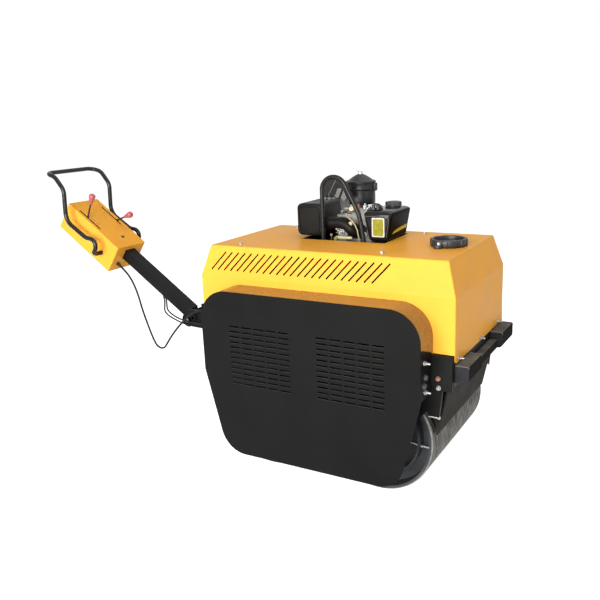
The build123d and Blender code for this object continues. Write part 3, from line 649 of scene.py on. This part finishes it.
# Water filler cap
# A moulded black screw cap with grip lugs sits on the hood above the water tank. A silver bolt
# fixes the low tab of its collar to the sheet.
cap_plastic = coating("cap_plastic", (0.016, 0.016, 0.018), 0.42, mottle_scale=40, relief=0.00008,
                      relief_scale=700, specular=0.4)
filler_place = on_machine(0.405, 0, top_sheet)
filler_profile = [
    (0, 0.0), (0.0665, 0.0), (0.0685, 0.002), (0.0700, 0.006), (0.0700, 0.021), (0.0690, 0.026),
    (0.0665, 0.028), (0.0590, 0.028), (0.0565, 0.026), (0.0555, 0.022), (0.0550, 0.0145), (0.0520, 0.0140),
    (0.0180, 0.0155), (0, 0.0165),
]
filler_lugs = 12
filler_lug_depth = 0.0028
filler_lugs_from = 0.0660
filler_tab = on_machine(0.388, -0.070, top_sheet)
tab_profile = [(0, 0), (0.0165, 0), (0.0170, 0.002), (0.0165, 0.011), (0.0150, 0.0135), (0, 0.014)]
tab_bolt_place = filler_tab + Vector((0.002, 0.002, 0.0138))
tab_bolt = dict(head=0.0075, height=0.007, washer=0.0095)
filler = bmesh.new()
add_lathe(filler, filler_place, (0, 0, 1), filler_profile, sides=144, grips=filler_lugs,
          grip_depth=filler_lug_depth, grip_from=filler_lugs_from)
add_lathe(filler, filler_tab, (0, 0, 1), tab_profile, sides=32)
filler_piece = make_piece("water_filler_cap", filler, cap_plastic)
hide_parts("filler_cap")
tab_fixing = bmesh.new()
add_bolt(tab_fixing, tab_bolt_place, (0, 0, 1), **tab_bolt)
make_piece("filler_tab_bolt", tab_fixing, zinc)


# Engine block and head
# A single-cylinder air-cooled engine, cast in aluminium and left as cast. Cream plastic caps and a
# fuel pipe sit on its near side, with a bar on a steel strap and a dipstick with an orange grip.
def add_block(mesh, low, high, bevel, place=Matrix.Identity(4)):
    # A block with rounded edges between two corners, set down by the place matrix.
    corners = bmesh.ops.create_cube(mesh, size=1.0)["verts"]
    for corner in corners:
        spot = [a + (share + 0.5) * (b - a) for a, b, share in zip(low, high, corner.co)]
        corner.co = place @ Vector(spot)
    edges = list({edge for corner in corners for edge in corner.link_edges})
    bmesh.ops.bevel(mesh, geom=edges, offset=bevel, segments=3, profile=0.5, affect="EDGES")


def run_pipe(name, route, radius, sides, material):
    mesh = bmesh.new()
    add_tube(mesh, [on_machine(*point) for point in route], radius, sides)
    make_piece(name, mesh, material)


cast_alloy = coating("cast_alloy", (0.21, 0.21, 0.205), 0.55, metal=0.6, mottle=0.4, mottle_scale=40,
                     relief=0.0003, relief_scale=500)
cream_plastic = coating("cream_plastic", (0.40, 0.37, 0.22), 0.4, mottle=0.1)
fuel_hose = coating("fuel_hose", (0.34, 0.29, 0.17), 0.45, mottle=0.12)
plated_green = coating("plated_green", (0.30, 0.33, 0.14), 0.4, metal=0.8, mottle_scale=80)
orange_plastic = coating("orange_plastic", (0.30, 0.13, 0.07), 0.45, mottle=0.1)
dress("engine_block", cast_alloy)
dress("cylinder_head", cast_alloy)

cap_profile = [(0, 0), (0.011, 0), (0.012, 0.003), (0.012, 0.016), (0.0095, 0.021), (0, 0.022)]
upper_cap = on_machine(-0.014, 0.050, 1.008)
upper_cap_axis = (0.35, -1, 0.25)
upper_cap_form = [(radius, height * 2.1) for radius, height in cap_profile]
lower_cap = on_machine(-0.006, 0.050, 0.958)
lower_cap_form = [(radius * 0.8, height * 2.0) for radius, height in cap_profile]
bar_low = on_machine(-0.062, -0.016, 0.899)
bar_high = on_machine(0.010, -0.006, 0.909)
moulded_round = 0.002
caps = bmesh.new()
add_lathe(caps, upper_cap, upper_cap_axis, upper_cap_form, 24, grips=8, grip_depth=0.001, grip_from=0.0115)
add_lathe(caps, lower_cap, (0, -1, 0), lower_cap_form, 24)
add_block(caps, bar_low, bar_high, moulded_round)
make_piece("engine_caps", caps, cream_plastic)

fuel_pipe_route = [
    (-0.023, 0.057, 0.990), (-0.024, 0.036, 0.995), (-0.022, 0.012, 0.996), (-0.016, 0.004, 0.986),
    (0.006, 0.004, 0.968), (0.018, 0.004, 0.952), (0.026, 0.004, 0.934), (0.032, 0.006, 0.900),
    (0.034, 0.009, 0.850), (0.034, 0.012, 0.798),
]
fuel_pipe_radius = 0.0028
run_pipe("fuel_pipe", fuel_pipe_route, fuel_pipe_radius, 12, fuel_hose)

side_bolt_place = on_machine(-0.036, 0.0525, 1.000)
side_bolt_axis = (-0.3, -1, 0.1)
side_bolt = dict(head=0.008, height=0.036, washer=0.010)
top_bolt_place = on_machine(0.036, 0.060, 1.012)
top_bolt = dict(head=0.008, height=0.014, washer=0.010, stud=0.004, stud_height=0.006)
engine_bolts = bmesh.new()
add_bolt(engine_bolts, side_bolt_place, side_bolt_axis, **side_bolt)
add_bolt(engine_bolts, top_bolt_place, (0, 0, 1), **top_bolt)
make_piece("engine_bolts", engine_bolts, zinc)

bar_nut_place = on_machine(-0.058, -0.015, 0.898)
bar_nut_axis = (-0.2, -1, 0)
bar_nut = dict(head=0.010, height=0.008)
green_nut = bmesh.new()
add_bolt(green_nut, bar_nut_place, bar_nut_axis, **bar_nut)
make_piece("bar_nut", green_nut, plated_green)

plug_place = on_machine(0.010, 0.058, 1.010)
plug_axis = (0, -0.2, 1)
plug_form = [(radius * 0.45, height) for radius, height in cap_profile]
grip_low = on_machine(-0.093, -0.004, 0.906)
grip_high = on_machine(-0.084, 0.005, 0.916)
plugs = bmesh.new()
add_lathe(plugs, plug_place, plug_axis, plug_form, 20)
add_block(plugs, grip_low, grip_high, moulded_round)
make_piece("engine_plugs", plugs, orange_plastic)

block_face = -0.002
block_top = 0.800
strap_rear = -0.036
strap_front = -0.020
strap_top = 0.902
strap_thickness = 0.0025
strap_lap = 0.030
strap_round = 0.0005
hook_reach = -0.008
hook_bottom = 0.8965
dipstick_foot = on_machine(-0.0885, 0.0008, block_top)
dipstick_radius = 0.0026
dipstick_length = 0.107
fittings = bmesh.new()
strap_foot = on_machine(strap_rear, block_face - strap_thickness, block_top - strap_lap)
strap_head = on_machine(strap_front, block_face, strap_top)
add_block(fittings, strap_foot, strap_head, strap_round)
add_block(fittings, on_machine(strap_rear, hook_reach, hook_bottom), strap_head, strap_round)
add_lathe(fittings, dipstick_foot, (0, 0, 1), rod_form(dipstick_radius, dipstick_length), 12)
make_piece("engine_fittings", fittings, dark_bolt_steel)


# Muffler and exhaust elbow
# A pressed steel box with a rolled rim round its end sheet, in black heat-proof paint. A bent pipe
# with a bolted flange leads to it from the cylinder head.
def rounded_path(low_1, high_1, low_2, high_2, radius, steps=6):
    # A closed rectangle with round corners, in two coordinates.
    centres = (
        (high_1 - radius, high_2 - radius), (low_1 + radius, high_2 - radius),
        (low_1 + radius, low_2 + radius), (high_1 - radius, low_2 + radius),
    )
    path = []
    for quarter, (corner_1, corner_2) in enumerate(centres):
        for step in range(steps + 1):
            angle = math.pi / 2 * (quarter + step / steps)
            path.append((corner_1 + radius * math.cos(angle), corner_2 + radius * math.sin(angle)))
    return path


heat_black = coating("heat_black", (0.0080, 0.0076, 0.0070), 0.42, mottle=0.3, mottle_scale=14,
                     relief=0.0001, relief_scale=300, specular=0.10)
muffler_low, muffler_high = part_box("muffler")
rim_inset = 0.011
rim_radius = 0.0042
rim_corner = 0.020
flange_spots = ((-0.031, 0.932), (0.035, 0.908), (-0.080, 0.931), (-0.066, 0.915))
flange_front = 0.049
exhaust_nut = dict(head=0.0095, height=0.009, washer=0.012, stud=0.0045, stud_height=0.010)
dress("muffler", heat_black)
dress("exhaust_elbow", heat_black)
rim_path = rounded_path(muffler_low.x + rim_inset, muffler_high.x - rim_inset, muffler_low.z + rim_inset,
                        muffler_high.z - rim_inset, rim_corner)
rim = bmesh.new()
add_tube(rim, [(x, muffler_low.y, z) for x, z in rim_path], rim_radius, 12, closed=True)
make_piece("muffler_rim", rim, heat_black)
exhaust_bolts = bmesh.new()
for x, z in flange_spots:
    add_bolt(exhaust_bolts, on_machine(x, flange_front, z), (0, -1, 0), **exhaust_nut)
make_piece("exhaust_bolts", exhaust_bolts, zinc)


# Fuel tank
# A pressed steel tank in glossy black, rounded on every edge, with a knurled plastic cap. Its front
# faces are painted darker as shade, with their reflection cut. Its near side has a blank framed label
# and a raised bead painted pale grey as a highlight line, its front a plain yellow stripe. A short
# return line with two plastic valves lies on its top.
tank_gloss = coating("tank_gloss", (0.0055, 0.0055, 0.006), 0.16, mottle_scale=8, relief=0.00002,
                     relief_scale=300, specular=0.22)
# The tank's black with its reflection cut, painted shade for the faces turned forward.
tank_front_shade = coating("tank_front_shade", (0.0055, 0.0055, 0.006), 0.3, mottle_scale=8, relief=0.00004,
                    relief_scale=300, specular=0.012)
label_white = coating("label_white", (0.50, 0.51, 0.49), 0.4, mottle=0.05)
label_lime = coating("label_lime", (0.22, 0.215, 0.010), 0.4, specular=0.2)
stripe_yellow = coating("stripe_yellow", (0.56, 0.48, 0.02), 0.35, mottle=0.12, specular=0.1)
# Pale grey for the bead along the tank's near side: a painted highlight line.
bead_highlight = coating("bead_highlight", (0.085, 0.088, 0.092), 0.25, mottle=0.3, mottle_scale=30, specular=0.3)
line_white = coating("return_line", (0.36, 0.37, 0.37), 0.35, mottle=0.1, mottle_scale=80)
# Height, then rear and front x, right and left y, and the corner radius of each section.
tank_sections = [
    (0.8960, 0.0900, 0.1555, -0.0070, 0.1800, 0.014),
    (0.8985, 0.0845, 0.1600, -0.0120, 0.1850, 0.016),
    (0.9030, 0.0806, 0.1636, -0.0148, 0.1878, 0.018),
    (0.9100, 0.0785, 0.1655, -0.0150, 0.1885, 0.018),
    (0.9850, 0.0625, 0.1780, -0.0150, 0.1930, 0.018),
    (0.9970, 0.0600, 0.1803, -0.0148, 0.1938, 0.018),
    (1.0020, 0.0598, 0.1808, -0.0138, 0.1936, 0.019),
    (1.0065, 0.0615, 0.1792, -0.0110, 0.1918, 0.020),
    (1.0105, 0.0660, 0.1750, -0.0055, 0.1875, 0.021),
    (1.0135, 0.0740, 0.1680, 0.0030, 0.1800, 0.022),
    (1.0155, 0.0850, 0.1590, 0.0130, 0.1700, 0.022),
    (1.0160, 0.0950, 0.1500, 0.0230, 0.1600, 0.022),
]
tank = bmesh.new()
loft_sections = []
for height, rear, front, right, left, corner in tank_sections:
    plan = rounded_path(rear, front, right, left, corner, 8)
    loft_sections.append([on_machine(x, y, height) for x, y in plan])
add_loft(tank, loft_sections)
tank_piece = make_piece("pressed_fuel_tank", tank, tank_gloss, sharp=math.radians(50))
tank_piece.data.materials.append(tank_front_shade)
# Faces turned forward take the painted shade.
for face in tank_piece.data.polygons:
    face.material_index = int(face.normal.x > 0.8)
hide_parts("fuel_tank")

bead_route = [
    (0.068, -0.0150, 0.9935), (0.120, -0.0150, 0.9935), (0.158, -0.0150, 0.9925), (0.1655, -0.0149, 0.990),
    (0.1690, -0.0146, 0.984), (0.1680, -0.0145, 0.972), (0.1640, -0.0145, 0.945), (0.1585, -0.0145, 0.912),
]
bead_radius = 0.0011
run_pipe("tank_highlight_bead", bead_route, bead_radius, 10, bead_highlight)

label_rear, label_front = 0.0985, 0.1515
label_bottom, label_top = 0.9135, 0.9885
label_corner = 0.005
label_back = -0.0145
tank_side = -0.015
label_layers = (
    ("label_frame", 0.0, label_white, 0.0003),
    ("label_field", 0.0045, label_lime, 0.0006),
)
for name, inset, material, lift in label_layers:
    path = rounded_path(label_rear + inset, label_front - inset, label_bottom + inset, label_top - inset,
                        label_corner)
    label = bmesh.new()
    add_loft(label, [[on_machine(x, y, z) for x, z in path] for y in (label_back, tank_side - lift)])
    make_piece(name, label, material)


def tank_front(height):
    # The front leans evenly between the fourth and the fifth section.
    low, high = tank_sections[3], tank_sections[4]
    return low[2] + (height - low[0]) * (high[2] - low[2]) / (high[0] - low[0])


stripe_points = (
    (0.022, 0.9205), (0.034, 0.9275), (0.060, 0.9345), (0.100, 0.9390), (0.168, 0.9425), (0.160, 0.9280),
    (0.090, 0.9240),
)
stripe_lifts = (-0.0005, 0.0006)
stripe = bmesh.new()
stripe_faces = []
for lift in stripe_lifts:
    stripe_faces.append([on_machine(tank_front(z) + lift, y, z) for y, z in stripe_points])
add_loft(stripe, stripe_faces)
make_piece("tank_stripe", stripe, stripe_yellow)

cap_low, cap_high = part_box("fuel_cap")
cap_radius = (cap_high.x - cap_low.x) / 2
cap_height = cap_high.z - cap_low.z
fuel_cap = bmesh.new()
cap_foot = Vector(((cap_low.x + cap_high.x) / 2, (cap_low.y + cap_high.y) / 2, cap_low.z))
cap_form = [
    (0, 0), (cap_radius * 0.9, 0), (cap_radius * 0.9, 0.002), (cap_radius, 0.003),
    (cap_radius, cap_height - 0.004), (cap_radius * 0.97, cap_height - 0.001),
    (cap_radius * 0.9, cap_height), (cap_radius * 0.55, cap_height),
    (cap_radius * 0.5, cap_height - 0.0015), (0, cap_height - 0.0015),
]
knurls = 36
knurl_depth = 0.0011
add_lathe(fuel_cap, cap_foot, (0, 0, 1), cap_form, sides=144, grips=knurls, grip_depth=knurl_depth,
          grip_from=cap_radius * 0.96)
cap_piece = make_piece("knurled_fuel_cap", fuel_cap, cap_plastic)
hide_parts("fuel_cap")

line_route = [(0.052, 0.020, 1.000), (0.060, 0.020, 1.013), (0.075, 0.020, 1.028), (0.090, 0.021, 1.036)]
line_radius = 0.0036
run_pipe("return_line", line_route, line_radius, 14, line_white)

elbow_route = [
    (0.086, 0.0205, 1.034), (0.096, 0.023, 1.0365), (0.108, 0.028, 1.035), (0.116, 0.034, 1.028),
    (0.120, 0.038, 1.013),
]
elbow_radius = 0.0050
valve_places = ((0.090, 0.024, 1.008), (0.106, 0.030, 1.008))
valve_form = [(0, 0), (0.0095, 0), (0.0095, 0.012), (0.0075, 0.016), (0.0075, 0.024), (0, 0.026)]
line_elbow = bmesh.new()
add_tube(line_elbow, [on_machine(*point) for point in elbow_route], elbow_radius, 14)
for place in valve_places:
    add_lathe(line_elbow, on_machine(*place), (0, 0, 1), valve_form, 20)
make_piece("return_line_elbow", line_elbow, cap_plastic)


# Air filter
# A drawn steel bowl and lid in black paint, with beads rolled in and a domed top. A wing nut on
# the centre stud holds the lid, a spring clip its side, and a steel stay carries the bowl.
filter_black = coating("filter_black", (0.0105, 0.0118, 0.0132), 0.36, mottle=0.25, mottle_scale=16,
                       specular=0.26)
stay_grey = coating("stay_grey", (0.040, 0.040, 0.041), 0.5, metal=0.3, mottle=0.3, mottle_scale=50)
stay_shape = ((-0.082, 1.056), (-0.050, 1.056), (-0.036, 1.044), (-0.028, 0.994), (-0.068, 0.996))
stay_depth = (0.0620, 0.0655)
filter_foot = on_machine(-0.0195, 0.138, 1.022)
filter_form = [
    (0, 0), (0.0560, 0), (0.0590, 0.002), (0.0600, 0.006), (0.0600, 0.052), (0.0585, 0.0545),
    (0.0585, 0.0565), (0.0612, 0.058), (0.0630, 0.061), (0.0630, 0.0655), (0.0620, 0.0680), (0.0620, 0.0850),
    (0.0632, 0.0870), (0.0632, 0.0905), (0.0615, 0.0935), (0.0580, 0.0950), (0.0545, 0.0945),
    (0.0520, 0.0955), (0.0400, 0.1045), (0.0300, 0.1110), (0.0200, 0.1170), (0.0120, 0.1205),
    (0.0060, 0.1215), (0, 0.1217),
]
clip_low = on_machine(0.040, 0.128, 1.076)
clip_high = on_machine(0.0525, 0.148, 1.108)
clip_round = 0.003
filter_mesh = bmesh.new()
add_lathe(filter_mesh, filter_foot, (0, 0, 1), filter_form, sides=64)
add_block(filter_mesh, clip_low, clip_high, clip_round)
filter_piece = make_piece("oil_bath_filter", filter_mesh, filter_black)
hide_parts("air_filter")
filter_stay = bmesh.new()
add_loft(filter_stay, [[on_machine(x, y, z) for x, z in stay_shape] for y in stay_depth])
make_piece("filter_stay", filter_stay, stay_grey)
dome_height = 0.1205
wing_foot = filter_foot + Vector((0, 0, dome_height))
wing_hub = [
    (0, 0), (0.0085, 0), (0.0085, 0.002), (0.0065, 0.010), (0.0035, 0.0105), (0.0035, 0.017), (0, 0.0175),
]
wing_lean = math.radians(24)
wing_inner, wing_outer = 0.004, 0.017
wing_bottom, wing_top = 0.003, 0.016
wing_half = 0.0015
wing_round = 0.0013
wing_nut = bmesh.new()
add_lathe(wing_nut, wing_foot, (0, 0, 1), wing_hub, 20)
for side in (-1, 1):
    lean = Matrix.Translation(wing_foot) @ Matrix.Rotation(-wing_lean * side, 4, "Y")
    near, far = sorted((wing_inner * side, wing_outer * side))
    add_block(wing_nut, (near, -wing_half, wing_bottom), (far, wing_half, wing_top), wing_round, lean)
make_piece("filter_wing_nut", wing_nut, zinc)


# Lifting hoop
# A bent round bar with a plate welded into its crown, in gloss black, stands over the engine's
# balance point. Grey brackets, a bolt and a thin stay rod are fixed to the plate.
hoop_black = coating("hoop_black", (0.0080, 0.0080, 0.0085), 0.26, mottle_scale=20, specular=0.2)
bracket_grey = coating("bracket_grey", (0.085, 0.085, 0.085), 0.5, metal=0.3, mottle_scale=50)
bracket_faces = (
    ((-0.054, 1.071), (-0.040, 1.101), (-0.021, 1.101), (-0.030, 1.082), (-0.038, 1.066), (-0.048, 1.061)),
    ((-0.027, 1.064), (-0.015, 1.094), (-0.001, 1.064), (-0.014, 1.050)),
)
bracket_depth = (-0.0225, -0.0285)
stay_ends = ((-0.049, -0.0247, 1.133), (-0.084, -0.0247, 1.072))
stay_radius = 0.0021
stay_bolt_axis = (1, 0, 0.03)
stay_bolt_line = (-0.030, 1.062)
head_place, shank_place, nut_place = [on_machine(x, *stay_bolt_line) for x in (-0.088, -0.090, -0.078)]
stay_head = dict(head=0.0085, height=0.008, washer=0.0075)
stay_nut = dict(head=0.008, height=0.008)
shank_radius = 0.0045
shank_length = 0.042
dress("lifting_hoop", hoop_black)
brackets = bmesh.new()
for shape in bracket_faces:
    add_loft(brackets, [[on_machine(x, y, z) for x, z in shape] for y in bracket_depth])
add_tube(brackets, [on_machine(*point) for point in stay_ends], stay_radius, 10)
make_piece("hoop_brackets", brackets, bracket_grey)
stay_bolt = bmesh.new()
add_bolt(stay_bolt, head_place, (-1, 0, 0), **stay_head)
add_lathe(stay_bolt, shank_place, stay_bolt_axis, rod_form(shank_radius, shank_length), 14)
add_bolt(stay_bolt, nut_place, stay_bolt_axis, **stay_nut)
make_piece("stay_bolt", stay_bolt, dark_bolt_steel)


# Drawbar hinge
# Two plate lugs welded to the rear beam carry the drawbar on a steel pin, with a stop bolt below
# it. They are painted with the frame, and the pin has a plated nut at each end.
lug_face = 0.058
lug_screw = (-0.790, 0.499)
pin_low, pin_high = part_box("pivot_pin")
pin_nut = dict(head=0.0075, height=0.006, washer=0.010)
lug_nut = dict(head=0.0075, height=0.006, washer=0.0095)
dress("tow_lugs", frame_black)
dress("pivot_pin", frame_black)
dress("stop_bolt", frame_black)
hinge_nuts = bmesh.new()
for side, pin_end in ((-1, pin_low.y), (1, pin_high.y)):
    pin_face = Vector(((pin_low.x + pin_high.x) / 2, pin_end, (pin_low.z + pin_high.z) / 2))
    add_bolt(hinge_nuts, pin_face, (0, side, 0), **pin_nut)
    lug_place = on_machine(lug_screw[0], side * lug_face, lug_screw[1])
    add_bolt(hinge_nuts, lug_place, (0, side, 0), **lug_nut)
make_piece("hinge_nuts", hinge_nuts, zinc)


# Drawbar
# A square steel tube with welded heel plates, painted black, slopes up from the hinge into the
# front of the control box.
drawbar_black = coating("drawbar_black", (0.0060, 0.0060, 0.0064), 0.36, mottle=0.25, mottle_scale=12,
                        specular=0.08, soften=0.002)
dress("drawbar", drawbar_black)


# Control box
# A folded and spot-welded sheet box in the hood's yellow closes round the end of the drawbar. A
# screw and grey marks beside the two lever slots sit on its top.
handle_slope = math.radians(34.9)
handle_along = Vector((-math.cos(handle_slope), 0, math.sin(handle_slope)))
handle_up = Vector((math.sin(handle_slope), 0, math.cos(handle_slope)))
handle_right = Vector((0, -1, 0))
handle_axes = Matrix((handle_along, handle_right, handle_up)).transposed()
box_edge = on_machine(-1.186, 0, 0.8055)
handle_place = Matrix.Translation(box_edge) @ handle_axes.to_4x4()
mark_grey = coating("mark_grey", (0.20, 0.19, 0.17), 0.5, mottle=0.15, mottle_scale=80)
box_screw_place = handle_place @ Vector((0.068, 0, 0))
box_screw = dict(head=0.006, height=0.004, washer=0.008, washer_height=0.0015)
slot_marks = ((0.180, 0.232, 0.058), (0.205, 0.270, -0.058))
mark_half = 0.0012
mark_levels = (-0.001, 0.0005)
mark_round = 0.0004
dress("control_box", enamel)
marks = bmesh.new()
for start, end, right in slot_marks:
    mark_low = (start, right - mark_half, mark_levels[0])
    mark_high = (end, right + mark_half, mark_levels[1])
    add_block(marks, mark_low, mark_high, mark_round, handle_place)
make_piece("slot_marks", marks, mark_grey, body="handle")
box_fixing = bmesh.new()
add_bolt(box_fixing, box_screw_place, handle_up, **box_screw)
make_piece("box_screw", box_fixing, dark_bolt_steel, body="handle")


# Levers
# Two black steel rods on a shaft inside the box lean out of the slots. Each has a pear-shaped
# red plastic knob screwed on. The shaft crosses the box under its top sheet.
lever_black = coating("lever_black", (0.011, 0.011, 0.012), 0.35, mottle_scale=40, specular=0.4)
knob_red = coating("knob_red", (0.40, 0.085, 0.085), 0.28, mottle=0.08, mottle_scale=40, specular=0.5)
shaft_along = 0.231
shaft_up = -0.060
lever_leans = ((0.072, math.radians(11.5)), (-0.072, math.radians(-36.7)))
knob_start = 0.131
knob_form = [
    (0, 0), (0.0064, 0), (0.0072, 0.002), (0.0086, 0.010), (0.0112, 0.021), (0.0140, 0.031), (0.0156, 0.038),
    (0.0158, 0.042), (0.0148, 0.0465), (0.0120, 0.0505), (0.0070, 0.0532), (0, 0.0540),
]
for name in ("lever_shaft", "levers"):
    dress(name, lever_black)
knobs = bmesh.new()
for right, lean in lever_leans:
    knob_axis = handle_along * math.sin(lean) + handle_up * math.cos(lean)
    knob_foot = handle_place @ Vector((shaft_along, right, shaft_up)) + knob_axis * knob_start
    add_lathe(knobs, knob_foot, knob_axis, knob_form, 32)
knob_piece = make_piece("pear_knobs", knobs, knob_red, body="handle")
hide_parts("lever_knobs")


# Handlebar and glands
# A bent steel tube in gloss black is welded to both sides of the box. Black plastic glands hold
# the ends of the hose and the cables.
bar_black = coating("bar_black", (0.0070, 0.0070, 0.0075), 0.17, mottle_scale=15, relief=0.00001,
                    specular=0.30)
gland_plastic = coating("gland_plastic", (0.014, 0.014, 0.014), 0.45, mottle_scale=50, specular=0.4)
dress("handlebar", bar_black)
for name in ("handle_glands", "rear_glands"):
    dress(name, gland_plastic)
